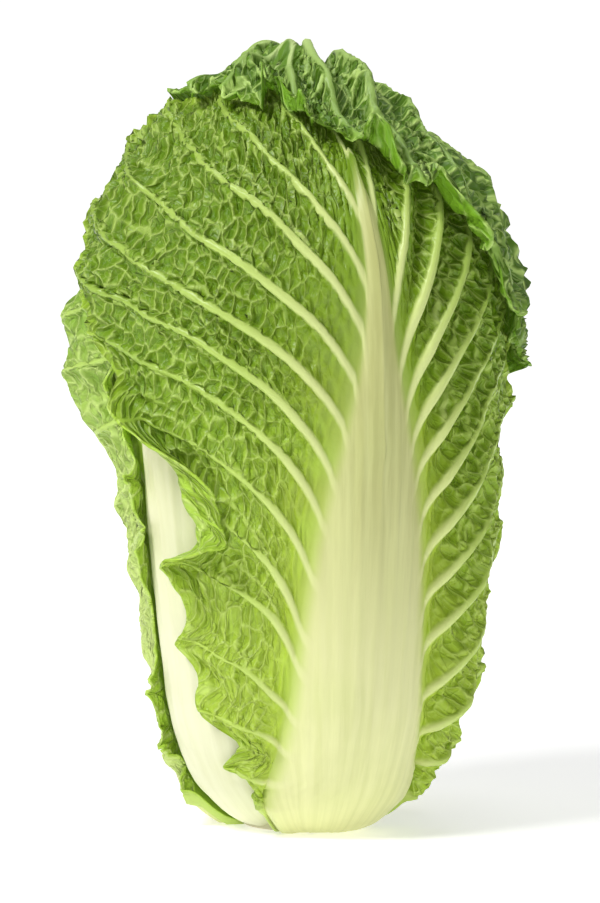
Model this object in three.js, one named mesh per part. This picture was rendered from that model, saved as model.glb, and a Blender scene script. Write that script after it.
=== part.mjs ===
// Napa cabbage: an upright barrel head that stands on its cut stem. Five wrapper leaves, each with a
// broad fleshy rib and a crinkled blade, lie over one another round a packed heart.
// Millimetres, +Z up, front towards -Y. The origin is the centre of the cut face of the stem.
//
// Every place on the head has two measures: rise, the way over the outside from the bottom centre
// (0) to the top centre (TOP), and turn, the angle round the head, 0 at the front and positive to
// the right. A third, depth, is the distance from the upright spine that the barrel grows round.

import * as THREE from "three";
import { mergeVertices } from "three/addons/utils/BufferGeometryUtils.js";

// Driving dimensions of the head.
const SPINE_LOW = 55;
const SPINE_HIGH = 205;
const CAP_RADIUS = 75;
const HEAD_LEAN = -6;
const FLAT_CLEARANCE = 0.4;

const DEGREE = Math.PI / 180;
const LOW_EDGE = (CAP_RADIUS * Math.PI) / 2;
const HIGH_EDGE = LOW_EDGE + SPINE_HIGH - SPINE_LOW;
const TOP = HIGH_EDGE + LOW_EDGE;

// Depth of the head's outside at a rise.
const BARREL = [
  [0, 54.6], [20, 56.8], [40, 62.6], [58, 62.6], [85, 61.5], [110, 63], [149, 69.5],
  [187, 76], [225, 83], [262, 85.5], [300, 83.5], [330, 82.5], [355, 87], [386, 102],
];

// Half width and thickness of a leaf's rib at a rise, and the inner leaves' distance under the outside.
const RIB_HALF_WIDTH = [
  [34, 62], [64, 58], [82, 47], [110, 36], [149, 29], [187, 22], [225, 12.5], [252, 7], [282, 4.2],
  [330, 2], [420, 1],
];
const RIB_THICKNESS = [[34, 6], [64, 8.5], [110, 8.5], [187, 6.5], [225, 4.5], [282, 2.5], [420, 0.8]];
const HEART_DEPTH_BELOW = 22;

// Blade: its thickness, the veins that run out from the rib, and how deep it waves between them.
const BLADE = 1.3;
const VEIN_RAISE = 2.4;
const QUILT = 1.6;
const CRINKLE = 1.1;
const CRINKLE_SIZE = 13;

// How a vein bends: how far across it is when it is half way up. It leaves nearly along the rib.
const VEIN_BEND = 0.16;

// Space between leaves, and how far round a place the leaves beneath are felt.
const LEAF_GAP = 1.3;
const FELT = { foot: 6, wrapper: 9, hood: 10 };

// Below its blade a leaf is all rib, down to the root that grew round the stem. The last value is how
// thin a root may get where it lies over another one.
const FOOT_RISE = 36;
const FOOT_WIDTH = 0.84;
const FOOT_THICKNESS = 0.9;

// The stretch of rib over which the closing leaf's veins pass to the map round the top centre.
const OVER_TOP = [180, 320];

// The net of each leaf.
const RIB_COLUMNS = 4;
const ROWS_A_VEIN = 2;
const FOOT_ROWS = 2;

// Stem and heart.
const STEM_RADIUS = 25;
const STEM_HEIGHT = 17;
const STEM_SIDES = 28;
const HEART_BOTTOM = 18;
const HEART_START = 62;
const HEART_FOLD_DEPTH = 1.4;
const HEART_FOLD_RISE = 260;
const HEART_ROWS = 15;
const HEART_SIDES = 30;
const HEART_FOLDS = 5;

const COLOURS = {
  stem: 0xd9d3b4,
  heart: 0xd8dd8e,
  wrapper: 0x8fb84a,
  hood: 0x6f9a3c,
};

// A wrapper leaf. turn is where its rib stands, and inset how deep its blade starts under the outside.
// ribShare is how thick its rib is next to the table above. stand lists how far the blade of each half
// stands out at a rise, besides what its inset gives.
// Each margin lists, from the foot of the blade to its tip, where a vein leaves the rib (a rise), and
// the turn from the rib and the rise at which that vein meets the edge.
const PLAIN_MARGIN = [
  [58, 48, 66], [80, 58, 98], [110, 66, 144], [145, 67, 190], [175, 67, 226], [205, 66, 262],
  [235, 66, 298], [262, 62, 326], [288, 48, 344], [310, 26, 352], [328, 0, 354],
];
const LEVEL = [[0, 0], [386, 0]];
const LEAVES = [
  {
    name: "leaf_left", turn: -49, inset: 14, ruffle: 1.2, ribShare: 1, veins: 13, columns: 7,
    left: PLAIN_MARGIN, right: PLAIN_MARGIN, stand: [LEVEL, LEVEL],
  },
  {
    name: "leaf_right", turn: 94, inset: 18, ruffle: 1.2, ribShare: 0.6, veins: 13, columns: 7,
    left: PLAIN_MARGIN, right: PLAIN_MARGIN, stand: [LEVEL, LEVEL],
  },
  {
    name: "leaf_back_left", turn: -122, inset: 9.5, ruffle: 1.8, ribShare: 1, veins: 13, columns: 7,
    stand: [
      [[0, 0], [262, 0], [278, -2], [300, -8], [320, -9], [350, -9]],
      [
        [60, 3], [140, 3], [165, 1], [190, 0], [210, 3], [222, 12], [240, 13], [262, 10], [278, -2],
        [300, -8], [320, -9], [350, -9],
      ],
    ],
    left: PLAIN_MARGIN,
    right: [
      [58, 44, 68], [80, 52, 98], [110, 57, 140], [145, 62, 178], [175, 62, 206], [205, 52, 234],
      [235, 60, 264], [262, 58, 300], [288, 44, 332], [310, 25, 350], [328, 0, 354],
    ],
  },
  {
    name: "leaf_front", turn: 22, inset: 8.5, ruffle: 1.6, ribShare: 1, veins: 14, columns: 9,
    stand: [
      [[60, 3], [110, 3], [150, 1], [190, 0], [290, 0], [320, -3], [350, -6]],
      [[60, 5], [100, 8], [150, 8], [190, 5], [225, 0], [290, 0], [320, -3], [350, -6]],
    ],
    left: [
      [58, 46, 64], [74, 56, 84], [92, 64, 112], [112, 70, 142], [133, 70, 170], [146, 61, 195],
      [168, 64, 218], [189, 84, 256], [205, 95, 277], [222, 112, 303], [239, 110, 324],
      [257, 92, 336], [275, 68, 350], [300, 42, 353], [328, 0, 352],
    ],
    right: [
      [58, 48, 64], [76, 56, 92], [94, 62, 124], [114, 66, 152], [134, 68, 178], [152, 69, 202],
      [169, 69, 226], [186, 68, 248], [203, 66, 268], [216, 63, 290], [229, 60, 315],
      [243, 56, 338], [262, 44, 351], [300, 24, 353], [328, 0, 352],
    ],
  },
  {
    name: "leaf_back_hood", turn: 166, inset: 9.5, ruffle: 1.4, ribShare: 0.8, veins: 13, columns: 9,
    overTop: true,
    stand: [[[180, 0], [225, 0], [245, 5], [275, 4], [300, 0]], [[180, 0], [300, 0]]],
    left: [
      [58, 46, 66], [80, 56, 98], [110, 60, 150], [145, 63, 196], [185, 71, 230], [232, 87, 242],
      [282, 102, 256], [322, 116, 286], [358, 134, 312], [385, 156, 328], [402, 180, 342],
    ],
    right: [
      [58, 46, 66], [80, 60, 98], [110, 68, 144], [145, 70, 190], [185, 71, 232], [232, 72, 268],
      [282, 80, 304], [322, 92, 330], [358, 112, 341], [385, 142, 348], [402, 180, 342],
    ],
  },
];

function mix(a, b, share) {
  return a + (b - a) * share;
}

function smoothStep(low, high, x) {
  const t = Math.min(1, Math.max(0, (x - low) / (high - low)));
  return t * t * (3 - 2 * t);
}

// Smooth curve through the rows of a table: its first column is the measure, column is the one read.
function readTable(table, x, column = 1) {
  const last = table.length - 1;
  const above = table.findIndex((row) => row[0] > x);
  const k = above < 0 ? last - 1 : Math.max(0, above - 1);
  const slope = (i) => {
    const a = table[Math.max(0, i - 1)];
    const b = table[Math.min(last, i + 1)];
    return (b[column] - a[column]) / (b[0] - a[0]);
  };
  const [p, q] = [table[k], table[k + 1]];
  const span = q[0] - p[0];
  const t = Math.min(1, Math.max(0, (x - p[0]) / span));
  const t2 = t * t;
  const t3 = t2 * t;
  return (2 * t3 - 3 * t2 + 1) * p[column] + (t3 - 2 * t2 + t) * span * slope(k)
    + (3 * t2 - 2 * t3) * q[column] + (t3 - t2) * span * slope(k + 1);
}

// Soft seeded noise between -1 and 1 that repeats round the head.
function noise(rise, turn, seed, size) {
  const hash = (i, j) => {
    const s = Math.sin(i * 127.1 + j * 311.7 + seed * 74.7) * 43758.5453;
    return 2 * (s - Math.floor(s)) - 1;
  };
  const around = Math.round((2 * Math.PI * CAP_RADIUS) / size);
  const x = rise / size;
  const y = (((turn / 360) % 1) + 1) % 1 * around;
  const [i, j] = [Math.floor(x), Math.floor(y)];
  const [s, t] = [smoothStep(0, 1, x - i), smoothStep(0, 1, y - j)];
  const next = (j + 1) % around;
  return mix(mix(hash(i, j), hash(i + 1, j), s), mix(hash(i, next), hash(i + 1, next), s), t);
}

// The point in space at a rise, turn and depth.
function headPoint(rise, turn, depth) {
  const foot = Math.min(SPINE_HIGH, Math.max(SPINE_LOW, SPINE_LOW + rise - LOW_EDGE));
  const past = rise < LOW_EDGE ? rise - LOW_EDGE : Math.max(0, rise - HIGH_EDGE);
  const slope = past / CAP_RADIUS;
  const across = depth * Math.cos(slope);
  const z = foot + depth * Math.sin(slope);
  const lean = HEAD_LEAN * Math.pow(Math.max(0, z) / (SPINE_HIGH + CAP_RADIUS), 2);
  const around = turn * DEGREE;
  return new THREE.Vector3(across * Math.sin(around) + lean, -across * Math.cos(around), z);
}

function barrelDepth(rise) {
  const flat = rise < LOW_EDGE / 3 ? (SPINE_LOW - FLAT_CLEARANCE) / Math.cos(rise / CAP_RADIUS) : Infinity;
  return Math.min(readTable(BARREL, rise), flat);
}

// Where a place on a leaf lies. u runs up the rib from the foot of the blade to its tip, and v from
// the rib's edge (0) to the leaf's edge (1); a place on the rib has v under 0, from -1 on its middle
// line to 0 on its edge. Low on the head a vein is drawn on the unrolled side of the barrel. On the
// leaf that closes the top it passes into a flat map round the top centre.
function leafPlace(leaf, side, u, v) {
  const margin = side < 0 ? leaf.left : leaf.right;
  const step = margin.map((row, i) => [i / (margin.length - 1), ...row]);
  const root = readTable(step, u, 1);
  const edgeTurn = readTable(step, u, 2) * DEGREE;
  const edgeRise = readTable(step, u, 3);
  const half = readTable(RIB_HALF_WIDTH, root) * (1 - smoothStep(0.93, 1, u));
  const onRib = Math.min(0, v) + 1;
  const out = Math.max(0, v);

  const bend = (from, to) => {
    const control = [mix(from[0], to[0], VEIN_BEND), mix(from[1], to[1], 0.5)];
    return [0, 1].map((k) => (1 - out) ** 2 * from[k] + 2 * out * (1 - out) * control[k] + out ** 2 * to[k]);
  };
  const [x, y] = bend([half * onRib, root], [edgeTurn * CAP_RADIUS, edgeRise]);
  const place = { rise: y, turn: x / CAP_RADIUS / DEGREE };
  const share = leaf.overTop ? smoothStep(...OVER_TOP, root) : 0;
  if (share > 0) {
    const reach = Math.max(1e-6, Math.abs(TOP - root));
    const spread = reach / (CAP_RADIUS * Math.sin(Math.min(reach / CAP_RADIUS, Math.PI / 2)));
    const edgeReach = TOP - edgeRise;
    const mapFrom = [half * onRib * spread, root - TOP];
    const mapTo = [edgeReach * Math.sin(edgeTurn), -edgeReach * Math.cos(edgeTurn)];
    const [mapX, mapY] = bend(mapFrom, mapTo);
    place.rise = mix(place.rise, TOP - Math.hypot(mapX, mapY), share);
    place.turn = mix(place.turn, Math.atan2(mapX, -mapY) / DEGREE, share);
  }
  return { rise: place.rise, turn: leaf.turn + side * place.turn, root, onRib };
}

// Depth of what the leaves placed so far fill, on a fine net over the head.
const CELL_RISE = 2.5;
const CELL_TURN = 2;
const cellsUp = Math.ceil(TOP / CELL_RISE) + 1;
const cellsRound = 360 / CELL_TURN;

class Packing {
  constructor(depthAt) {
    this.cells = [];
    for (let i = 0; i < cellsUp; i++) this.cells.push(new Array(cellsRound).fill(depthAt(i * CELL_RISE)));
  }

  raise(rise, turn, depth) {
    const i = Math.min(cellsUp - 1, Math.max(0, Math.round(rise / CELL_RISE)));
    const j = ((Math.round(turn / CELL_TURN) % cellsRound) + cellsRound) % cellsRound;
    this.cells[i][j] = Math.max(this.cells[i][j], depth);
  }

  // The most that is filled within reach mm of a place.
  under(rise, turn, reach) {
    const past = rise < LOW_EDGE ? rise - LOW_EDGE : Math.max(0, rise - HIGH_EDGE);
    const round = Math.max(8, CAP_RADIUS * Math.cos(past / CAP_RADIUS));
    const span = Math.min(cellsRound / 2, Math.ceil(reach / (round * CELL_TURN * DEGREE)));
    const [i, j] = [Math.round(rise / CELL_RISE), Math.round(turn / CELL_TURN)];
    const up = Math.ceil(reach / CELL_RISE);
    let most = 0;
    for (let a = Math.max(0, i - up); a <= Math.min(cellsUp - 1, i + up); a++) {
      for (let b = j - span; b <= j + span; b++) {
        most = Math.max(most, this.cells[a][((b % cellsRound) + cellsRound) % cellsRound]);
      }
    }
    return most;
  }
}

const heartDepth = (rise) => barrelDepth(rise) - HEART_DEPTH_BELOW;
const packing = new Packing(heartDepth);

// Both faces of a leaf at one place: the inner face follows the waves, and the outer one adds the
// blade, the rib and the raised veins.
function leafFaces(leaf, seed, side, u, v) {
  const { rise, turn, root, onRib } = leafPlace(leaf, side, u, v);
  const out = Math.max(0, v);
  const crest = Math.cos(2 * Math.PI * leaf.veins * (1 - u));
  const calm = 1 - smoothStep(0.72, 0.95, u) * (1 - smoothStep(0.2, 0.8, out));
  const ruffle = leaf.ruffle * mix(0.6, 1, smoothStep(180, 300, root));
  const swing = QUILT * calm * Math.sin(Math.PI * Math.min(1, out * 1.2)) + ruffle * out ** 3;
  const crinkle = CRINKLE * smoothStep(0.05, 0.4, out);
  const wave = swing * crest + crinkle * noise(rise, turn, seed, CRINKLE_SIZE);
  const stand = readTable(leaf.stand[side < 0 ? 0 : 1], rise) * smoothStep(0, 0.6, out);
  const deepest = swing + crinkle;
  const felt = leaf.overTop ? FELT.hood : FELT.wrapper;
  const floor = packing.under(rise, turn, felt) + LEAF_GAP + deepest;
  const inner = Math.max(barrelDepth(rise) - leaf.inset + stand, floor) + wave;
  const rib = v < 0 ? leaf.ribShare * readTable(RIB_THICKNESS, root) * Math.pow(1 - onRib * onRib, 0.7) : 0;
  const vein = VEIN_RAISE * (1 - 0.75 * out) * smoothStep(0, 0.12, out) * Math.max(0, crest) * calm;
  return { rise, turn, inner, outer: inner + BLADE + rib + vein };
}

// A leaf as one closed solid: a net of rows along the veins and columns from the left edge over the
// rib to the right edge. The last row folds together at the tip of the rib.
function leafGeometry(leaf, seed) {
  const columns = [];
  for (let j = leaf.columns; j > 0; j--) columns.push({ side: -1, v: j / leaf.columns });
  for (let k = 0; k <= RIB_COLUMNS; k++) {
    const across = (2 * k) / RIB_COLUMNS - 1;
    columns.push({ side: across < 0 ? -1 : 1, v: Math.abs(across) - 1 });
  }
  for (let j = 1; j <= leaf.columns; j++) columns.push({ side: 1, v: j / leaf.columns });

  const net = [];
  const rows = ROWS_A_VEIN * leaf.veins;
  for (let i = -FOOT_ROWS; i <= rows; i++) {
    const u = Math.max(0, i) / rows;
    const row = columns.map(({ side, v }) => leafFaces(leaf, seed, side, u, v));
    if (i < 0) row.forEach((p) => toFoot(leaf, p, -i / FOOT_ROWS));
    net.push(row);
  }
  if (!leaf.overTop) fillPacking(net);

  const points = [];
  const triangles = [];
  const wide = columns.length;
  const high = net.length;
  for (const face of ["inner", "outer"]) {
    net.forEach((row) => row.forEach((p) => points.push(headPoint(p.rise, p.turn, p[face]))));
  }
  const at = (face, i, j) => face * high * wide + i * wide + j;
  const quad = (a, b, c, d) => triangles.push(a, b, c, a, c, d);
  for (let i = 0; i + 1 < high; i++) {
    for (let j = 0; j + 1 < wide; j++) {
      quad(at(1, i, j), at(1, i, j + 1), at(1, i + 1, j + 1), at(1, i + 1, j));
      quad(at(0, i, j), at(0, i + 1, j), at(0, i + 1, j + 1), at(0, i, j + 1));
    }
    quad(at(0, i, 0), at(1, i, 0), at(1, i + 1, 0), at(0, i + 1, 0));
    quad(at(1, i, wide - 1), at(0, i, wide - 1), at(0, i + 1, wide - 1), at(1, i + 1, wide - 1));
  }
  for (let j = 0; j + 1 < wide; j++) {
    quad(at(0, 0, j), at(0, 0, j + 1), at(1, 0, j + 1), at(1, 0, j));
  }
  return closedGeometry(points, triangles);
}

// Moves a place from the foot of the blade down its leaf's root: share 1 is the lowest. The root stays
// above the level of the cut face, which the head stands on.
function toFoot(leaf, p, share) {
  const thick = p.outer - p.inner;
  p.turn = mix(p.turn, mix(leaf.turn, p.turn, FOOT_WIDTH), share);
  p.rise -= share * (leaf.left[0][0] - FOOT_RISE);
  const floor = packing.under(p.rise, p.turn, FELT.foot) + LEAF_GAP;
  const level = (SPINE_LOW - FLAT_CLEARANCE) / Math.cos(p.rise / CAP_RADIUS);
  p.inner = Math.min(Math.max(barrelDepth(p.rise) - leaf.inset, floor), level - FOOT_THICKNESS);
  p.outer = Math.min(p.inner + thick, level);
}

// Marks what a finished leaf fills, by sampling each cell of its net.
function fillPacking(net) {
  const samples = 6;
  for (let i = 0; i + 1 < net.length; i++) {
    for (let j = 0; j + 1 < net[i].length; j++) {
      const [a, b, c, d] = [net[i][j], net[i][j + 1], net[i + 1][j], net[i + 1][j + 1]];
      for (let s = 0; s <= samples; s++) {
        for (let t = 0; t <= samples; t++) {
          const [across, up] = [t / samples, s / samples];
          const at = (key) => mix(mix(a[key], b[key], across), mix(c[key], d[key], across), up);
          packing.raise(at("rise"), at("turn"), at("outer"));
        }
      }
    }
  }
}

// Joins points that fall together and drops the triangles that this closes up.
function closedGeometry(points, triangles) {
  const loose = new THREE.BufferGeometry().setFromPoints(points);
  loose.setIndex(triangles);
  const joined = mergeVertices(loose, 1e-3);
  const index = joined.index.array;
  const kept = [];
  for (let i = 0; i < index.length; i += 3) {
    const [a, b, c] = [index[i], index[i + 1], index[i + 2]];
    if (a !== b && b !== c && a !== c) kept.push(a, b, c);
  }
  joined.setIndex(dropMirroredPairs(kept));
  joined.computeVertexNormals();
  return joined;
}

// Two triangles on the same three points that face each other close up to nothing.
function dropMirroredPairs(index) {
  const seen = new Map();
  for (let i = 0; i < index.length; i += 3) {
    const key = [index[i], index[i + 1], index[i + 2]].sort((a, b) => a - b).join();
    seen.set(key, [...(seen.get(key) ?? []), i]);
  }
  const gone = new Set([...seen.values()].filter((list) => list.length > 1).flat());
  const kept = [];
  for (let i = 0; i < index.length; i += 3) {
    if (!gone.has(i)) kept.push(index[i], index[i + 1], index[i + 2]);
  }
  return kept;
}

// The heart: the packed inner leaves, their edges wound round it as slow folds that fade at the top.
function heartGeometry() {
  const points = [];
  for (let i = 0; i <= HEART_ROWS; i++) {
    const rise = mix(HEART_START, TOP, i / HEART_ROWS);
    const foldDepth = HEART_FOLD_DEPTH * Math.sin((Math.PI * i) / HEART_ROWS);
    for (let j = 0; j < HEART_SIDES; j++) {
      const turn = (360 * j) / HEART_SIDES;
      const wind = ((turn / 360) * HEART_FOLDS + rise / HEART_FOLD_RISE) % 1;
      const fold = 2 * Math.abs(wind - 0.5);
      points.push(headPoint(rise, turn, heartDepth(rise) - foldDepth * fold));
    }
  }
  const triangles = [];
  for (let i = 0; i < HEART_ROWS; i++) {
    for (let j = 0; j < HEART_SIDES; j++) {
      const [a, b] = [i * HEART_SIDES + j, i * HEART_SIDES + ((j + 1) % HEART_SIDES)];
      triangles.push(a, b, b + HEART_SIDES, a, b + HEART_SIDES, a + HEART_SIDES);
    }
  }
  const bottom = points.length;
  points.push(new THREE.Vector3(0, 0, HEART_BOTTOM));
  for (let j = 0; j < HEART_SIDES; j++) triangles.push(bottom, (j + 1) % HEART_SIDES, j);
  return closedGeometry(points, triangles);
}

// The stem: the cut end of the core that every leaf grew from.
function stemGeometry() {
  const outline = [
    [0, 0], [STEM_RADIUS, 0], [STEM_RADIUS - 1, 2], [STEM_RADIUS - 4, 9],
    [STEM_RADIUS - 7, STEM_HEIGHT - 1], [0, STEM_HEIGHT],
  ];
  const profile = outline.map(([r, z]) => new THREE.Vector2(r, z));
  const turned = new THREE.LatheGeometry(profile, STEM_SIDES);
  turned.rotateX(Math.PI / 2);
  return turned;
}

function subPart(name, geometry, colour, roughness = 0.55) {
  const material = new THREE.MeshStandardMaterial({ color: colour, roughness, metalness: 0 });
  const mesh = new THREE.Mesh(geometry, material);
  mesh.name = name;
  return mesh;
}

const cabbage = new THREE.Group();
cabbage.add(subPart("stem", stemGeometry(), COLOURS.stem, 0.8));
cabbage.add(subPart("heart", heartGeometry(), COLOURS.heart));
LEAVES.forEach((leaf, seed) => {
  cabbage.add(subPart(leaf.name, leafGeometry(leaf, seed), leaf.overTop ? COLOURS.hood : COLOURS.wrapper));
});

export default cabbage;
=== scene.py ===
# %% [markdown]
# # A head of napa cabbage
#
# The head is a barrel of big leaves that overlap like the petals of a bud. Each leaf has a broad
# fleshy rib, white to pale green, and a thin crinkled blade with thick side veins and a net of fine
# ones. We make each leaf as one closed sheet, worked out with numpy on a grid that follows its
# veins, and lay the leaves over one another from the inside out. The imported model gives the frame.

import bpy
import numpy as np
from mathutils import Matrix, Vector


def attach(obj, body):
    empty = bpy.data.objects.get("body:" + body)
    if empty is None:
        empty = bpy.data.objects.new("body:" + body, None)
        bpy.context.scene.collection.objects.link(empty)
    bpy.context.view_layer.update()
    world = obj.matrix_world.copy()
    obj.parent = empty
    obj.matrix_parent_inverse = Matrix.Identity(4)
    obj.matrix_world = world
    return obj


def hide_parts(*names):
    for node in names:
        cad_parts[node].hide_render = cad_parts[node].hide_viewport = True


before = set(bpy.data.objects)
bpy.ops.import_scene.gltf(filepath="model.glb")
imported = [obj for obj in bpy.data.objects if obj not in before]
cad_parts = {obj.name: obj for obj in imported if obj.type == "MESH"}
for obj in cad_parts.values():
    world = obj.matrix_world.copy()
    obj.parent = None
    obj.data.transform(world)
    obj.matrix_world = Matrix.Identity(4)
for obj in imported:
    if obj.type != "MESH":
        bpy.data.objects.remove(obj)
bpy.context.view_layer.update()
MM = 0.001

# %% [markdown]
# ## Places on the head
#
# A leaf lies on the head as a map lies on a globe, so places are given the way a map gives them.
# Rise is the way over the outside from the bottom centre to the top centre. Turn is the angle round
# the head, from the front towards the right. Depth is the distance from the upright spine that the
# barrel grows round. The middle of the head is a cylinder and both ends are round, so one formula
# takes rise, turn and depth to a point in space.

# %% Measures of the head, in mm and degrees
SPINE_LOW = 55.0
SPINE_HIGH = 205.0
CAP_RADIUS = 75.0
HEAD_LEAN = -6.0
FLAT_CLEARANCE = 0.4
LOW_EDGE = CAP_RADIUS * np.pi / 2
HIGH_EDGE = LOW_EDGE + SPINE_HIGH - SPINE_LOW
TOP = HIGH_EDGE + LOW_EDGE
BARREL = [
    (0, 54.6), (20, 56.8), (40, 62.6), (58, 62.6), (85, 61.5), (110, 63), (149, 69.5),
    (187, 76), (225, 83), (262, 85.5), (300, 83.5), (330, 82.5), (355, 87), (386, 102),
]


def mix(a, b, share):
    """The value that lies a share of the way from a to b."""
    return a + (b - a) * share


def ease(low, high, x):
    """0 up to low, 1 from high, and a soft S between: 3t^2 - 2t^3."""
    t = np.clip((x - low) / (high - low), 0, 1)
    return t * t * (3 - 2 * t)


def soft_max(a, b, radius=1.5):
    """The larger of two heights, with the crease between them rounded."""
    return 0.5 * (a + b + np.sqrt((a - b) ** 2 + radius**2))


def read_table(table, x, column=1):
    """A smooth curve through a table's rows: cubic between two, each slope from its neighbours."""
    rows = np.array(table, float)
    xs, ys = rows[:, 0], rows[:, column]
    x = np.clip(x, xs[0], xs[-1])
    ends = np.arange(len(xs))
    low, high = np.maximum(ends - 1, 0), np.minimum(ends + 1, len(xs) - 1)
    slopes = (ys[high] - ys[low]) / (xs[high] - xs[low])
    k = np.clip(np.searchsorted(xs, x, side="right") - 1, 0, len(xs) - 2)
    span = xs[k + 1] - xs[k]
    t = (x - xs[k]) / span
    swing = span * t * (1 - t) * mix(slopes[k], -slopes[k + 1], t)
    return mix(ys[k], ys[k + 1], ease(0, 1, t)) + swing


def past_cylinder(rise):
    """How far a rise is below or above the straight part of the head."""
    return np.where(rise < LOW_EDGE, rise - LOW_EDGE, np.maximum(0, rise - HIGH_EDGE))


def head_point(rise, turn, depth):
    """Points in space, in mm, at arrays of rise, turn and depth."""
    foot = np.clip(SPINE_LOW + rise - LOW_EDGE, SPINE_LOW, SPINE_HIGH)
    slope = past_cylinder(rise) / CAP_RADIUS
    across = depth * np.cos(slope)
    z = foot + depth * np.sin(slope)
    lean = HEAD_LEAN * (np.maximum(0, z) / (SPINE_HIGH + CAP_RADIUS)) ** 2
    around = np.radians(turn)
    return np.stack([across * np.sin(around) + lean, -across * np.cos(around), z], axis=-1)


def barrel_depth(rise):
    """Depth of the head's outside, cut flat under the stem."""
    under = rise < LOW_EDGE / 3
    flat = (SPINE_LOW - FLAT_CLEARANCE) / np.cos(np.where(under, rise, 0) / CAP_RADIUS)
    outside = read_table(BARREL, rise)
    return np.where(under, np.minimum(outside, flat), outside)


print("height of the round outside:", round(float(head_point(TOP, 0.0, barrel_depth(TOP))[2])), "mm")

# %% [markdown]
# ## The plan of each leaf
#
# A napa leaf is a long paddle. Its rib is widest and thickest at the foot and runs out to a fine
# line at the tip, and the side veins peel off its edges one after another, first along the rib and
# then outwards. A leaf is planned by where its rib stands on the head and by two margins. A margin
# lists, from foot to tip, where a vein leaves the rib (a rise), and the turn from the rib and the
# rise at which that vein meets the leaf's edge. Five such leaves, about 72 degrees apart, wrap the
# head. The last of them is the hood: above OVER_TOP its places pass from the map round the head to
# a map that lies over the top, so that it can cross the pole.

# %% Ribs, margins and the leaves
RIB_HALF_WIDTH = [
    (34, 62), (64, 58), (82, 48), (110, 39), (149, 31), (187, 23.5), (225, 13), (252, 7),
    (282, 4.2), (330, 3), (420, 1.5),
]
RIB_THICKNESS = [(34, 6), (64, 8.5), (110, 8.5), (187, 6.5), (225, 4.5), (282, 2.5), (420, 0.8)]
RIB_SWEEP = 20.0
TIP_START = 0.93
FOOT_RISE = 25.0
OVER_TOP = (180, 320)

PLAIN_MARGIN = [
    (58, 48, 66), (80, 58, 98), (110, 66, 144), (145, 67, 190), (175, 67, 226), (205, 66, 262),
    (235, 66, 298), (262, 62, 326), (288, 48, 344), (310, 26, 352), (328, 0, 354),
]
FRONT_LEFT = [
    (58, 46, 64), (74, 56, 84), (92, 64, 112), (112, 70, 142), (133, 69, 172), (146, 71, 198),
    (168, 80, 226), (189, 88, 252), (205, 97, 274), (222, 120, 298), (239, 124, 322),
    (257, 112, 344), (275, 86, 358), (300, 50, 364), (328, 0, 360),
]
FRONT_RIGHT = [
    (58, 48, 64), (76, 56, 92), (94, 62, 124), (114, 66, 152), (134, 68, 178), (152, 69, 202),
    (169, 69, 226), (186, 68, 248), (203, 66, 268), (216, 63, 290), (229, 60, 315),
    (243, 56, 340), (262, 44, 356), (300, 24, 361), (328, 0, 360),
]
STRIP_RIGHT = [
    (58, 50, 68), (80, 60, 98), (110, 64, 140), (145, 68, 178), (175, 68, 206), (205, 58, 234),
    (235, 62, 264), (262, 58, 300), (288, 44, 332), (310, 25, 350), (328, 0, 354),
]
HOOD_LEFT = [
    (58, 46, 66), (80, 56, 98), (110, 60, 150), (145, 63, 196), (185, 71, 230), (232, 87, 242),
    (282, 102, 256), (322, 116, 286), (358, 134, 312), (385, 156, 328), (402, 180, 342),
]
HOOD_RIGHT = [
    (58, 46, 66), (80, 60, 98), (110, 68, 144), (145, 70, 190), (185, 71, 232), (232, 72, 268),
    (282, 80, 304), (322, 92, 330), (358, 112, 341), (385, 142, 348), (402, 180, 342),
]


def bend_vein(start, end, out, bend):
    """A vein's way over the flat leaf: it leaves along the rib and then bends out to the edge."""
    control = (mix(start[0], end[0], bend[0]), mix(start[1], end[1], bend[1]))
    near, middle, far = (1 - out) ** 2, 2 * out * (1 - out), out**2
    return [near * start[k] + middle * control[k] + far * end[k] for k in (0, 1)]


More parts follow.
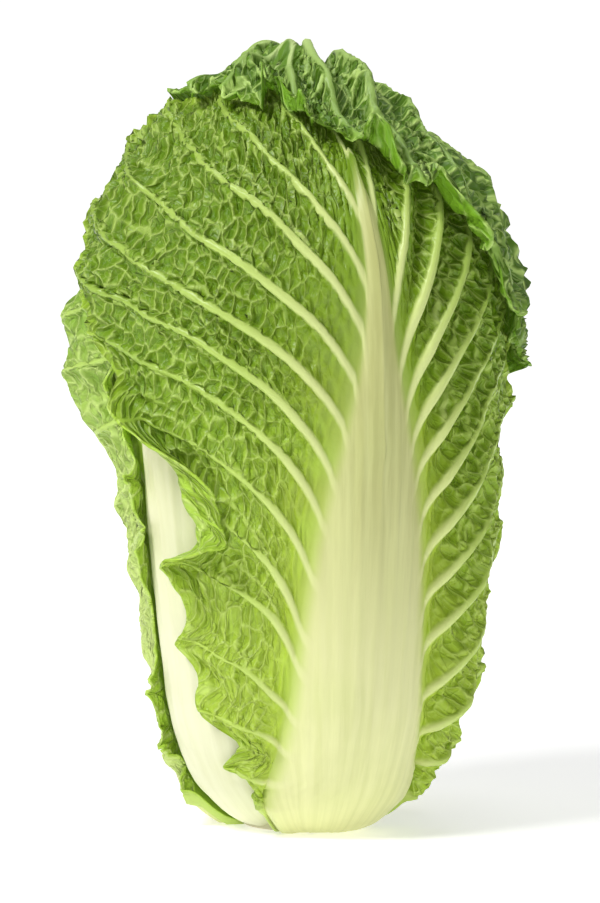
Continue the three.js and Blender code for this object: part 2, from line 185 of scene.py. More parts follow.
def leaf_place(leaf, side, u, v):
    """Rise and turn of places on a leaf, and the same places on the leaf laid flat, in mm.

    u runs up the rib from 0 at the blade's foot to 1 at the tip. v is -1 on the rib's middle line,
    0 on its edge and 1 on the leaf's edge. side is -1 on the left half and 1 on the right.
    """
    reads = []
    for column in (1, 2, 3):
        halves = []
        for name in ("left", "right"):
            steps = np.linspace(0, 1, len(leaf[name]))[:, None]
            halves.append(read_table(np.hstack([steps, leaf[name]]), u, column))
        reads.append(halves)
    out, on_rib = np.maximum(0, v), np.minimum(0, v) + 1
    own = 0.5 + 0.5 * side * on_rib
    root = mix(reads[0][0], reads[0][1], own)
    edge_turn = np.radians(np.where(side < 0, reads[1][0], reads[1][1]))
    edge_rise = np.where(side < 0, reads[2][0], reads[2][1])
    half = read_table(RIB_HALF_WIDTH, root) * (1 - ease(TIP_START, 1, u))
    bend = [np.where(side < 0, *pair) for pair in zip(*leaf["bend"])]
    sweep = RIB_SWEEP * ease(0.0, 0.25, u) * (1 - ease(0.8, 1, u))
    root = root - sweep * (1 - on_rib) ** 0.6
    x, y = bend_vein((half * on_rib, root), (edge_turn * CAP_RADIUS, edge_rise), out, bend)
    rise, turn = y, np.degrees(x / CAP_RADIUS)
    flat_x, flat_y = x, y - TOP
    if leaf["over_top"]:
        share = ease(*OVER_TOP, root)
        reach = np.maximum(1e-6, np.abs(TOP - root))
        spread = reach / (CAP_RADIUS * np.sin(np.minimum(reach / CAP_RADIUS, np.pi / 2)))
        edge_reach = TOP - edge_rise
        map_edge = (edge_reach * np.sin(edge_turn), -edge_reach * np.cos(edge_turn))
        map_x, map_y = bend_vein((half * on_rib * spread, root - TOP), map_edge, out, bend)
        rise = mix(rise, TOP - np.hypot(map_x, map_y), share)
        turn = mix(turn, np.degrees(np.arctan2(map_x, -map_y)), share)
        flat_x, flat_y = mix(flat_x, map_x, share), mix(flat_y, map_y, share)
    turn = leaf["turn"] + side * turn
    return dict(rise=rise, turn=turn, root=root, flat_x=side * flat_x, flat_y=flat_y)


# %% [markdown]
# ## Noise and nets
#
# Two patterns make a leaf look grown. The first is soft noise: random heights on a lattice, joined
# smoothly. The second is the net of small veins. It parts the blade into cells the way drying mud
# parts, so each cell belongs to the nearest of a set of scattered seeds, and a small vein runs
# wherever two seeds are equally near. Both read one seeded table of random numbers, so the leaf is
# the same each time.

# %% Noise and cells
HASH_SIZE = 256
hash_table = np.random.default_rng(7407).random((HASH_SIZE, HASH_SIZE, 2))


def scatter(i, j, seed):
    """Two random numbers from 0 to 1 for each lattice place."""
    return hash_table[(i + 37 * seed) % HASH_SIZE, (j + 91 * seed) % HASH_SIZE]


def noise(x, y, size, seed):
    """Soft noise from -1 to 1, with hills about size across."""
    x, y = x / size, y / size
    i, j = np.floor(x).astype(int), np.floor(y).astype(int)
    s, t = ease(0, 1, x - i), ease(0, 1, y - j)
    corner = [[scatter(i + a, j + b, seed)[..., 0] for b in (0, 1)] for a in (0, 1)]
    value = mix(mix(corner[0][0], corner[1][0], s), mix(corner[0][1], corner[1][1], s), t)
    return 2 * value - 1


def cell_border(x, y, scale_x, scale_y, seed, loose=0.38):
    """Distance in mm to the nearest border between cells that lie about a unit lattice.

    scale_x and scale_y say how many mm one lattice step is. Of the 25 seeds round a place, one is
    the nearest, and the border is the nearest line half way between it and another.
    """
    steps = np.arange(-2, 3)
    a, b = np.repeat(steps, 5)[:, None, None], np.tile(steps, 5)[:, None, None]
    i, j = np.floor(x).astype(int) + a, np.floor(y).astype(int) + b
    shift = loose * (2 * scatter(i, j, seed) - 1) + 0.5
    dx, dy = (i + shift[..., 0] - x) * scale_x, (j + shift[..., 1] - y) * scale_y
    nearest = np.argmin(dx * dx + dy * dy, axis=0)[None]
    near_x, near_y = (np.take_along_axis(d, nearest, axis=0) for d in (dx, dy))
    apart_x, apart_y = dx - near_x, dy - near_y
    apart = np.hypot(apart_x, apart_y)
    middle = ((dx + near_x) * apart_x + (dy + near_y) * apart_y) / 2 / np.maximum(apart, 1e-9)
    return np.min(np.where(apart > 1e-9, middle, np.inf), axis=0)


print("hash table of", hash_table.size, "numbers")

# %% [markdown]
# ## What lies beneath
#
# A leaf on a head rests on the leaves inside it. To lay it, we keep a map of how far out the head is
# filled so far. Before a leaf is laid, the map is spread sideways, so that the leaf clears each edge
# and rib by some millimetres, and then blurred, so that it passes over them in a soft slope.

# %% The map of what is filled
HEART_INSET = 22.0
CELL_RISE = 2.5
CELL_TURN = 2.0
CELLS_UP = int(np.ceil(TOP / CELL_RISE)) + 1
CELLS_ROUND = int(360 / CELL_TURN)


def heart_depth(rise):
    """Depth of the heart's outside: the head's, less the thickness of all its wrapper leaves."""
    return barrel_depth(rise) - HEART_INSET


filled = np.repeat(heart_depth(np.arange(CELLS_UP) * CELL_RISE)[:, None], CELLS_ROUND, axis=1)


def fill_up(rise, turn, depth):
    """Marks the places that a finished leaf fills."""
    i = np.clip(np.rint(rise / CELL_RISE).astype(int), 0, CELLS_UP - 1)
    j = np.rint(turn / CELL_TURN).astype(int) % CELLS_ROUND
    np.maximum.at(filled, (i, j), depth)


def spread_and_blur(reach):
    """The map with each place raised to the most within reach of it, and then softened."""
    up = int(np.ceil(reach / CELL_RISE))
    high = np.pad(filled, ((up, up), (0, 0)), mode="edge")
    high = np.max([high[k : k + CELLS_UP] for k in range(2 * up + 1)], axis=0)
    rises = np.arange(CELLS_UP) * CELL_RISE
    radius = np.maximum(8, CAP_RADIUS * np.cos(past_cylinder(rises) / CAP_RADIUS))
    spans = np.ceil(reach / (radius * np.radians(CELL_TURN))).astype(int)
    spans = np.minimum(spans, CELLS_ROUND // 2)
    wide, soft = high.copy(), high.copy()
    for i, span in enumerate(spans):
        wide[i] = np.max([np.roll(high[i], k) for k in range(-span, span + 1)], axis=0)
    for _ in range(2):
        for i, span in enumerate(spans):
            part = max(1, int(span * 0.4))
            soft[i] = np.mean([np.roll(wide[i], k) for k in range(-part, part + 1)], axis=0)
        padded = np.pad(soft, ((1, 1), (0, 0)), mode="edge")
        wide = (padded[:-2] + padded[1:-1] + padded[2:]) / 3
    return wide


def read_map(grid, rise, turn):
    """The map's value at places between its cells."""
    x = np.clip(rise / CELL_RISE, 0, CELLS_UP - 1.001)
    y = (turn / CELL_TURN) % CELLS_ROUND
    i, j = np.floor(x).astype(int), np.floor(y).astype(int)
    s, t = x - i, y - j
    after = (j + 1) % CELLS_ROUND
    j = j % CELLS_ROUND
    return mix(mix(grid[i, j], grid[i + 1, j], s), mix(grid[i, after], grid[i + 1, after], s), t)


# %% [markdown]
# ## The leaf as a sheet
#
# The grid of a leaf has its rows along the side veins, gathered close to them, and its columns along
# the rib, so a ridge on a vein is a ridge on a row. The sheet gets its shape in layers: the lie over
# what is beneath, pleats between the side veins, slow billows, fine crinkle, the pockets of the net,
# and at the margin teeth, frill and curl. Then it gets its thickness along its own normal, with the
# rib and the veins raised. Only the finest net is left to the material, which draws it from the vein
# count and the distances that the mesh hands on.

# %% Veins and pockets
ROW_GATHER = 0.64
FOOT_STEP = 0.04
SPACING_BLUR = 5
VEIN_WANDER = 0.07
WANDER_SIZE = 22.0
CORD_HALF_WIDTH = (2.0, 0.42)
CORD_HEIGHT = (1.7, 0.75)
FORK_HEIGHT = (0.9, 0.6)
FORKS_SHARE = 0.75
POCKETS_ACROSS = 2
POCKET_SLOPE = 2.3
NET_RIDGE_WIDTH = 0.7
NET_RIDGE_HEIGHT = 0.7


def grid_lengths(points, u, v, veins):
    """The mm that one step of v takes along a vein, and the mm from one vein to the next.

    The second is softened: each value is the mean over SPACING_BLUR columns on both sides.
    """
    along_u = np.gradient(points, u, axis=0)
    along_v = np.gradient(points, v, axis=1)
    length_v = np.maximum(np.linalg.norm(along_v, axis=-1), 1e-6)
    square = np.linalg.norm(np.cross(along_u, along_v), axis=-1) / length_v
    square = np.pad(np.maximum(square / veins, 0.5), ((0, 0), (SPACING_BLUR,) * 2), mode="edge")
    windows = [square[:, k : k + len(v)] for k in range(2 * SPACING_BLUR + 1)]
    return length_v, np.mean(windows, axis=0)


def hump(distance, half_width):
    """The round section of a vein: (1 - distance^2 / half_width^2)^1.5, and 0 beyond."""
    return np.clip(1 - (distance / half_width) ** 2, 0, None) ** 1.5


def vein_relief(sheet):
    """Height of the side veins and their forks over the blade.

    A fork leaves the lower vein of a pocket and nears the middle between two veins as 1 - e^-gone.
    """
    phase, out, spacing, width = (sheet[key] for key in ("phase", "out", "spacing", "width"))
    start = ease(-0.35, 0.02, sheet["v"]) * mix(0.3, 1, ease(0, 0.22, out))
    height = hump(sheet["off_vein"], 1.7 * width) * mix(*CORD_HEIGHT, out**0.5) * start

    lower = np.ceil(phase).astype(int)
    pick = scatter(lower, 0 * lower + (sheet["side"] > 0), sheet["seed"] + 5)
    gone = np.maximum(0, out - 0.12 - 0.4 * pick[..., 0])
    branch = lower - 0.5 * (1 - np.exp(-gone / 0.2))
    off_branch = np.abs(phase - branch) * spacing / np.sqrt(1 + 2 * np.exp(-gone / 0.1))
    fork = hump(off_branch, 1.5 * width) * ease(0, 0.08, gone) * (pick[..., 1] < FORKS_SHARE)
    sheet["cord_scale"] = spacing / width
    sheet["fork"] = fork
    return np.maximum(height, fork * mix(*FORK_HEIGHT, out))


def add_net(sheet, rung):
    """Pockets of the net: how far each sinks, as a share, and the ridges round them in mm."""
    border = cell_border(
        POCKETS_ACROSS * sheet["phase"], sheet["along"] / rung,
        sheet["spacing"] / POCKETS_ACROSS, rung, sheet["seed"] + 9,
    )
    clear = ease(0.7, 1.9, sheet["off_vein"] / sheet["width"])
    clear = clear * ease(2.5, 6.0, sheet["spacing"] / POCKETS_ACROSS)
    grown = mix(0.3, 1, ease(0.04, 0.45, sheet["out"])) * ease(0.0, 0.1, sheet["out"])
    sheet["sink"] = ease(0, POCKET_SLOPE, border) * clear * grown
    ridge = np.exp(-((border / NET_RIDGE_WIDTH) ** 2)) * ease(0.0, 0.12, sheet["out"])
    sheet["net_ridge"] = NET_RIDGE_HEIGHT * ridge * clear


def margin_values(leaf, name, sheet):
    """A leaf's own margin value, such as its curl, which may be a number or a table along u."""
    u = sheet["u"]
    halves = [read_table(v, u) if isinstance(v, list) else 0 * u + v for v in leaf[name]]
    return np.where(sheet["side"] < 0, *halves)


# %% [markdown]
# A leaf's grid starts as a count of rows and columns. We lay it on the bare barrel once, only to
# measure how far each place is from the rib and from the leaf's edge, and how far the veins stand
# apart there. So every later size on the leaf is in real mm.

# %% The grid of a leaf
def start_sheet(leaf, seed):
    """The leaf's grid, with the lengths that are measured at each place.

    The phase counts the side veins from the tip: whole numbers lie on veins, which wander a little.
    """
    blade = np.linspace(0, 1, leaf["blade_columns"] + 1)[1:]
    rib = np.linspace(-1, 1, leaf["rib_columns"] + 1)
    v = np.concatenate([blade[::-1], np.abs(rib) - 1, blade])
    side = np.concatenate([-1 + 0 * blade, np.where(rib < 0, -1.0, 1.0), 1 + 0 * blade])
    run = side * (1 + v)
    veins = leaf["veins"]
    foot_share = np.linspace(1, 0, leaf["foot_rows"] + 1)[:-1]
    even = np.linspace(0, 1, leaf["rows_a_vein"] * veins + 1)
    gathered = even - ROW_GATHER * np.sin(2 * np.pi * veins * even) / (2 * np.pi * veins)
    steps = np.concatenate([-FOOT_STEP * foot_share, gathered])
    U, V = np.meshgrid(np.maximum(0, steps), v, indexing="ij")
    SIDE, OUT = np.broadcast_to(side, U.shape), np.maximum(0, V)
    down = np.concatenate([foot_share, 0 * even])[:, None] + 0 * U

    place = leaf_place(leaf, SIDE, U, V)
    base = head_point(place["rise"], place["turn"], barrel_depth(place["rise"]))
    length_v, spacing = grid_lengths(base, steps, run, veins)
    wander = noise(place["flat_x"], place["flat_y"], WANDER_SIZE, seed + 1) * VEIN_WANDER
    phase = veins * (1 - U) + wander * ease(0, 0.3, OUT)
    step = 0.5 * (length_v[:, 1:] + length_v[:, :-1]) * np.abs(np.diff(run))
    walked = np.concatenate([np.zeros((len(steps), 1)), np.cumsum(step, axis=1)], axis=1)
    middle = len(v) // 2
    walked = np.abs(walked - walked[:, middle : middle + 1])
    rib_edge = np.where(side < 0, leaf["blade_columns"], len(v) - 1 - leaf["blade_columns"])
    along = np.maximum(0, walked - walked[:, rib_edge])
    return dict(
        u=U, v=V, out=OUT, side=SIDE, down=down, seed=seed, phase=phase, spacing=spacing,
        length_v=length_v, walked=walked, along=along,
        to_edge=np.where(side < 0, along[:, :1], along[:, -1:]) - along,
        crest=1 - 2 * np.abs(np.sin(np.pi * phase)) ** 1.3,
        off_vein=np.abs(phase - np.rint(phase)) * spacing,
        width=mix(*CORD_HALF_WIDTH, ease(-0.3, 0.7, V) ** 0.5),
    )


# %% [markdown]
# The curl is the one layer that can't be a plain height, because a curled edge turns back over
# itself. Walking out along each vein we let the sheet's direction turn away from the head. What the
# walk loses sideways and gains in height are running sums of the cosine and the sine of that turn.

# %% Teeth and curl
TOOTH_REACH = 30.0
SHORTEST_VEIN = 20.0
LEAST_V = 0.02


def outward(values):
    """Running sum from the rib outwards on both halves."""
    middle = values.shape[1] // 2
    right = np.cumsum(values[:, middle:], axis=1)
    left = np.cumsum(values[:, : middle + 1][:, ::-1], axis=1)[:, ::-1]
    return np.concatenate([left[:, :-1], right], axis=1)


def bite_and_curl(sheet, leaf):
    """v after the teeth cut a vein's way short and the curl turns it back, and the curl's lift."""
    v, side, phase, seed = sheet["v"], sheet["side"], sheet["phase"], sheet["seed"]
    bite = 0.5 - 0.5 * sheet["crest"] + 0.55 * noise(phase * 2.3, side, 1.0, seed + 2)
    bite += 0.35 * noise(phase * 6.1, side, 1.0, seed + 3)
    bite = np.clip(bite, 0, 2) * margin_values(leaf, "teeth", sheet)
    bite *= ease(0.1, 0.02, sheet["down"]) * ease(TOOTH_REACH, 2, sheet["to_edge"])

    width = margin_values(leaf, "curl_width", sheet)
    waver = 1 + leaf["curl_waver"] * noise(phase * 2.1, side, 1.0, seed + 4)
    angle = np.clip(np.radians(margin_values(leaf, "curl", sheet)) * waver, -0.5, 3.0)
    angle *= ease(width, width * 0.5, sheet["to_edge"]) * ease(0.1, 0.0, sheet["down"])
    angle = np.where(v > 0, angle, 0)
    step = np.abs((v > 0) * np.gradient(sheet["walked"], axis=1))
    back, lift = outward((1 - np.cos(angle)) * step), outward(np.sin(angle) * step)
    curled = v - (bite + back) / np.maximum(sheet["length_v"], SHORTEST_VEIN)
    return np.where(v > 0, np.maximum(np.minimum(v, LEAST_V), curled), v), lift


# %% [markdown]
# The other layers are heights over the sheet's lie. The lie itself is the barrel, less the leaf's
# inset, or whatever is beneath where that stands higher. The part of a leaf that hugs lies close on
# what is beneath it, and a stiff rib bridges the hollows there.

# %% Laying one leaf
SPREAD = 7.0
SPREAD_OF_HUG = 2.0
SPREAD_OF_RIB = 18.0
BILLOW_SIZE = 26.0
FRILL_REACH = 16.0


def add_waves(sheet, leaf):
    """Pleats, ruffle, crinkle, billow, frill and pockets in one height, and how deep they dip."""
    v, out, phase, seed = sheet["v"], sheet["out"], sheet["phase"], sheet["seed"]
    x, y = sheet["flat_x"], sheet["flat_y"]
    calm = 1 - ease(0.72, 0.95, sheet["u"]) * (1 - ease(0.2, 0.8, out))
    swing = margin_values(leaf, "pleat", sheet) * calm * ease(0, 0.22, out)
    swing *= np.sin(np.pi * np.clip(out * 1.15 + 0.08, 0, 1))
    swing += leaf["ruffle"] * mix(0.6, 1, ease(180, 300, sheet["root"])) * out**3
    crinkle = noise(x, y, 13.0, seed + 6) + 0.45 * noise(x, y, 6.0, seed + 7)
    crinkle_depth = leaf["crinkle"] * ease(0.05, 0.4, out)
    crinkle_depth *= mix(0.35, 1, ease(0.5, 2.5, sheet["off_vein"] / sheet["width"]))
    billow = leaf["billow"] * noise(x, y, BILLOW_SIZE, seed + 12) * ease(0.15, 0.6, out)
    frill = margin_values(leaf, "frill", sheet) * (v > 0)
    frill *= ease(FRILL_REACH, 0, sheet["to_edge"]) ** 1.5
    flutter = noise(phase * 2.6, out * 2, 1.0, seed + 8)
    flutter += 0.4 * noise(phase * 6, out * 3, 1.0, seed + 9)
    pocket = margin_values(leaf, "pocket", sheet)
    add_net(sheet, leaf["rung"])
    wave = swing * sheet["crest"] + crinkle_depth * crinkle + frill * flutter + billow
    return wave - pocket * sheet["sink"], 0.4 * (swing + crinkle_depth + frill + pocket)


def lay_leaf(leaf, seed):
    """The sheet of a leaf: its middle surface as points, with the values that its relief needs."""
    sheet = start_sheet(leaf, seed)
    new_v, lift = bite_and_curl(sheet, leaf)
    sheet.update(leaf_place(leaf, sheet["side"], sheet["u"], new_v))
    sheet["rise"] = sheet["rise"] - sheet["down"] * (leaf["left"][0][0] - FOOT_RISE)
    rise, turn, v = sheet["rise"], sheet["turn"], sheet["v"]
    wave, dip = add_waves(sheet, leaf)

    hug = margin_values(leaf, "hug", sheet) * ease(0.6, 0.95, sheet["out"])
    wide, close = (read_map(spread_and_blur(r), rise, turn) for r in (SPREAD, SPREAD_OF_HUG))
    beneath = mix(wide, close, hug)
    if leaf["stiff_rib"]:
        bridged = read_map(spread_and_blur(SPREAD_OF_RIB), rise, turn)
        beneath = mix(beneath, bridged, ease(0.3, -0.2, v) * ease(240, 160, sheet["root"]))
    floor = beneath + leaf["gap"] + dip * (1 - 0.7 * hug)
    stand = np.where(sheet["side"] < 0, *(read_table(table, rise) for table in leaf["stand"]))
    lie = barrel_depth(rise) - leaf["inset"] + stand * ease(0, 0.6, sheet["out"])
    lie = mix(lie, np.minimum(lie, floor), hug)
    depth = soft_max(lie, floor) + wave * ease(0.3, 0, sheet["down"])
    sheet["depth"] = soft_max(depth, beneath + leaf["gap"]) + lift
    sheet["middle"] = head_point(rise, turn, sheet["depth"])
    return sheet


# %% Thickness
BLADE_THICKNESS = (1.3, 0.7)
INNER_CLEARANCE = 1.3


def sheet_normals(points):
    """Unit normals of a grid of points, facing out of the head."""
    n = np.cross(np.gradient(points, axis=1), np.gradient(points, axis=0))
    return n / np.maximum(np.linalg.norm(n, axis=-1, keepdims=True), 1e-9)


def thicken(sheet, leaf):
    """Outer and inner faces: the blade's thickness, the rib, the side veins and the net's ridges.

    The rib's section is (1 - across^2)^power, boxy near the foot and rounder further up, and two
    cosines across it raise faint strands.
    """
    normal = sheet_normals(sheet["middle"])
    normal[-2:] = normal[-3]
    to_edge, root, x = sheet["to_edge"], sheet["root"], sheet["flat_x"]
    on_rib = np.minimum(0, sheet["v"]) + 1
    boxy = np.where(sheet["side"] < 0, *leaf["rib_power"])
    power = mix(boxy, 0.85, ease(45, 90, root))
    rib = leaf["rib_share"] * read_table(RIB_THICKNESS, root) * (1 - on_rib**2) ** power
    strands = 0.22 * np.cos(2 * np.pi * x / 7.3) + 0.16 * np.cos(2 * np.pi * np.abs(x) / 4.1 + 1)
    rib = rib + strands * np.clip(rib / 4, 0, 1) * ease(40, 80, root)
    calm = 1 - ease(0.9, 0.99, sheet["u"])
    raised = (vein_relief(sheet) + sheet["net_ridge"]) * calm
    blade = mix(*BLADE_THICKNESS, ease(20, 0, to_edge))
    keep = ease(0.3, 0, sheet["down"])
    outer = sheet["middle"] + normal * (0.5 * blade + rib + raised * keep)[..., None]
    clear = INNER_CLEARANCE * ease(3, 14, to_edge) * (sheet["v"] > 0) * keep
    inner = sheet["middle"] - normal * (0.5 * blade + clear)[..., None]
    outer[..., 2] = np.maximum(outer[..., 2], FLAT_CLEARANCE)
    inner[..., 2] = np.maximum(inner[..., 2], FLAT_CLEARANCE + 0.3)
    return outer, inner


def finish_values(sheet, leaf):
    """The masks that the leaf's material reads: 1 on the rib, and 1 along the margin."""
    green = leaf["rib_green"] * (sheet["side"] < 0)
    rib = ease(0.09, -0.2, sheet["v"] + green)
    sheet["rib"] = rib * (1 - ease(*leaf["rib_end"], sheet["u"]))
    sheet["margin"] = ease(7, 0, sheet["to_edge"])


# %% [markdown]
# ## From two faces to one closed mesh
#
# The outer face is seen, so it keeps every column of the grid. The inner face shows only along the
# margins, where the leaf curls, so there it keeps every column and elsewhere each third one. With
# fewer columns it can't follow every pocket, so it lies deeper there, by INNER_CLEARANCE, and never
# shows through. Quads join the two faces down both margins, and polygons with more corners join
# them along the foot. The last row folds in half at the tip of the rib, where its points are shared
# by the left and the right half.

# %% Closed meshes
EDGE_START = 0.8
INNER_STEP = 3
SHADER_VALUES = ("phase", "cord_scale", "along", "sink", "fork", "out", "rib", "margin")
UV_SCALE = 0.01


def kept_columns(v):
    """The columns that the inner face keeps, alike on both halves."""
    from_middle = np.abs(np.arange(len(v)) - len(v) // 2)
    return np.flatnonzero((v > EDGE_START) | (from_middle % INNER_STEP == 0))


def quads(*corners):
    """Four-cornered faces from the grids of their corners."""
    return np.stack([corner.ravel() for corner in corners], axis=1)


def leaf_mesh(name, sheet, outer, inner):
    """A closed mesh from both faces, with the pattern values as attributes of its points."""
    rows, wide = outer.shape[:2]
    keep = kept_columns(sheet["v"][0])
    inner = inner[:, keep]
    top = np.arange(rows * wide).reshape(rows, wide)
    under = rows * wide + np.arange(inner[..., 0].size).reshape(rows, len(keep))
    for grid, points in ((top, outer), (under, inner)):
        half = grid.shape[1] // 2
        grid[-1, half + 1 :] = grid[-1, :half][::-1]
        points[-1, :half] = 0.5 * (points[-1, :half] + points[-1, half + 1 :][::-1])

    corners = np.concatenate([
        quads(top[:-1, :-1], top[:-1, 1:], top[1:, 1:], top[1:, :-1]),
        quads(under[:-1, :-1], under[1:, :-1], under[1:, 1:], under[:-1, 1:]),
        quads(under[:-1, 0], top[:-1, 0], top[1:, 0], under[1:, 0]),
        quads(top[:-1, -1], under[:-1, -1], under[1:, -1], top[1:, -1]),
    ])
    own = corners != np.roll(corners, -1, axis=1)
    counts = own.sum(axis=1)
    whole = counts >= 3
    loops, totals = [corners[whole][own[whole]]], list(counts[whole])
    for k, (a, b) in enumerate(zip(keep[:-1], keep[1:])):
        rim = [under[0, k], under[0, k + 1], *top[0, a : b + 1][::-1]]
        loops.append(rim)
        totals.append(len(rim))
    loops = np.concatenate(loops)

    def both_faces(values):
        """Values of the outer face's points and then of the inner face's."""
        tail = values.shape[2:]
        return np.concatenate([values.reshape(-1, *tail), values[:, keep].reshape(-1, *tail)])

    points = np.concatenate([outer.reshape(-1, 3), inner.reshape(-1, 3)])
    used, renumbered = np.unique(loops, return_inverse=True)
    mesh = bpy.data.meshes.new(name)
    mesh.vertices.add(len(used))
    mesh.vertices.foreach_set("co", (points[used] * MM).astype(np.float32).ravel())
    mesh.loops.add(len(loops))
    mesh.loops.foreach_set("vertex_index", renumbered.astype(np.int32))
    mesh.polygons.add(len(totals))
    starts = np.concatenate([[0], np.cumsum(totals)[:-1]])
    mesh.polygons.foreach_set("loop_start", starts.astype(np.int32))
    mesh.polygons.foreach_set("use_smooth", np.ones(len(totals), bool))
    mesh.update(calc_edges=True)

    shown = {label: both_faces(sheet[label]) for label in SHADER_VALUES}
    shown["outside"] = np.arange(len(points)) < top.size
    for label, values in shown.items():
        layer = mesh.attributes.new(label, "FLOAT", "POINT")
        layer.data.foreach_set("value", values[used].astype(np.float32))
    flat = both_faces(np.stack([sheet["flat_x"], sheet["flat_y"]], axis=-1))
    uv = mesh.uv_layers.new(name="flat_leaf")
    uv.data.foreach_set("uv", (flat[loops] * UV_SCALE).astype(np.float32).ravel())
    return mesh


# %% [markdown]
# ## The leaves
#
# The numbers below say how each leaf is dressed: how deep it pleats between its veins, how deep its
# pockets are, how far its margin bites, frills and curls. A pair holds the left and the right half,
# and a table in its place gives the value from the foot of the blade (0) to its tip (1). Every leaf
# starts from the plain one, COVERED, and changes what is its own.

# %% The five leaves
LEVEL = [(0, 0), (386, 0)]
UNDER_HOOD = [(278, -2), (300, -8), (320, -9), (350, -9)]
COVERED = dict(
    teeth=(1.5, 1.5), frill=(0.6, 0.6), curl=(0, 0), curl_width=(8, 8),
    curl_waver=0, ruffle=1.2, pleat=(1.4, 1.4), pocket=(0.8, 0.8), rung=7,
    crinkle=0.8, billow=0.5, gap=0.7, hug=(0, 0), stand=(LEVEL, LEVEL),
    bend=((0.16, 0.5), (0.16, 0.5)), over_top=False, stiff_rib=False, rib_share=1,
    rib_power=(0.34, 0.34), rib_green=0, rib_end=(0.93, 1), veins=13,
    rows_a_vein=15, foot_rows=8, blade_columns=58, rib_columns=34,
    left=PLAIN_MARGIN, right=PLAIN_MARGIN,
)
LEAVES = {
    "leaf_left": dict(
        COVERED, turn=-49, inset=14, rib_share=1.35, rib_power=(1, 2),
        rib_green=0.25,
    ),
    "leaf_right": dict(COVERED, turn=94, inset=18, rib_share=0.6),
    "leaf_back_left": dict(
        COVERED, turn=-122, inset=9.5, gap=0.8, ruffle=1.8, right=STRIP_RIGHT,
        stand=(
            [(0, 0), (262, 0), *UNDER_HOOD],
            [
                (60, 3), (140, 3), (165, 1), (190, 0), (210, 3), (222, 12), (240, 13), (262, 10),
                *UNDER_HOOD,
            ],
        ),
        pleat=(1.5, 1.6), pocket=(1.6, 1.8), rung=8, crinkle=1, billow=1,
        teeth=(2, 8), frill=(1, 3), curl=(0, 14), curl_width=(8, 6),
        curl_waver=2.5, hug=(0, 1), blade_columns=80, rib_columns=30,
        rows_a_vein=18,
    ),
    "leaf_front": dict(
        COVERED, turn=22, inset=8.5, gap=0.8, ruffle=1.6, left=FRONT_LEFT,
        right=FRONT_RIGHT, veins=14, bend=((0.2, 0.72), (0.2, 0.58)),
        stand=(
            [(60, 3), (110, 3), (150, 1), (190, 0), (290, 0), (320, -3), (350, -6)],
            [(60, 5), (100, 8), (150, 8), (190, 5), (225, 0), (290, 0), (320, -3), (350, -6)],
        ),
        pleat=([(0, 1.6), (0.4, 1.8), (0.6, 2.8), (1, 2.6)], 4.2),
        pocket=([(0, 0.7), (0.4, 1), (0.5, 2.2), (0.65, 3), (1, 2.8)], 1.6),
        rung=6.5, crinkle=1.2, billow=1, frill=(2, 2),
        teeth=([(0, 8), (0.4, 9), (0.5, 4), (1, 3)], 4),
        curl=(
            [
                (0, 10), (0.22, 20), (0.28, 80), (0.34, 150), (0.42, 160), (0.47, 40), (0.52, 15),
                (1, 15),
            ],
            15,
        ),
        curl_width=(
            [(0, 8), (0.22, 9), (0.28, 13), (0.34, 24), (0.42, 20), (0.47, 8), (1, 8)], 8,
        ),
        curl_waver=0.25, hug=([(0, 1), (0.45, 1), (0.5, 0), (1, 0)], 0),
        blade_columns=104, rib_columns=36, rows_a_vein=18, foot_rows=10,
    ),
    "leaf_back_hood": dict(
        COVERED, turn=166, inset=9.5, gap=0.8, ruffle=1.4, left=HOOD_LEFT,
        right=HOOD_RIGHT, over_top=True, stiff_rib=True, rib_share=0.8,
        rib_end=(0.5, 0.75),
        stand=(
            [(180, 0), (225, 2), (245, 8), (275, 9), (300, 7), (330, 5), (350, 2)],
            [(180, 0), (290, 0), (320, 3), (350, 2)],
        ),
        pleat=(6.5, 5), pocket=(3, 2.6), rung=8, crinkle=1.4, billow=5,
        teeth=(10, 8), frill=(4, 2), curl=([(0, 0), (0.5, 0), (0.6, 26), (1, 26)], 6),
        curl_width=(12, 8), curl_waver=3, hug=(0.3, 0.6), blade_columns=116,
        rib_columns=22, rows_a_vein=17,
    ),
}


def add_object(name, data):
    """A new object in the scene that shows a mesh, a light or a camera."""
    made = bpy.data.objects.new(name, data)
    bpy.context.scene.collection.objects.link(made)
    return made


def add_piece(name, mesh, node):
    """Puts a finished mesh into the scene in place of its CAD node."""
    piece = add_object(name, mesh)
    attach(piece, "root")
    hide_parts(node)
    return piece


pieces = {}
for seed, (node, leaf) in enumerate(LEAVES.items()):
    sheet = lay_leaf(leaf, 10 * seed)
    outer, inner = thicken(sheet, leaf)
    finish_values(sheet, leaf)
    if not leaf["over_top"]:
        across = np.linalg.norm(outer - sheet["middle"], axis=-1)
        fill_up(sheet["rise"], sheet["turn"], sheet["depth"] + across)
    mesh = leaf_mesh(node + "_sheet", sheet, outer, inner)
    pieces[node] = add_piece(node + "_sheet", mesh, node)
    triangles = sum(len(p.vertices) - 2 for p in mesh.polygons)
    print(node, "has", triangles, "triangles")

# %% [markdown]
# ## The heart and the stem
#
# Under the wrapper leaves is the heart, packed leaves that show only as slow folds. The stem is the
# core that all the leaves grew from, cut flat, so the head stands on it.

# %% Heart and stem
HEART_START = 62.0
HEART_RINGS = 90
HEART_BOTTOM = 18.0
HEART_FOLDS = 5
HEART_FOLD_RISE = 260.0


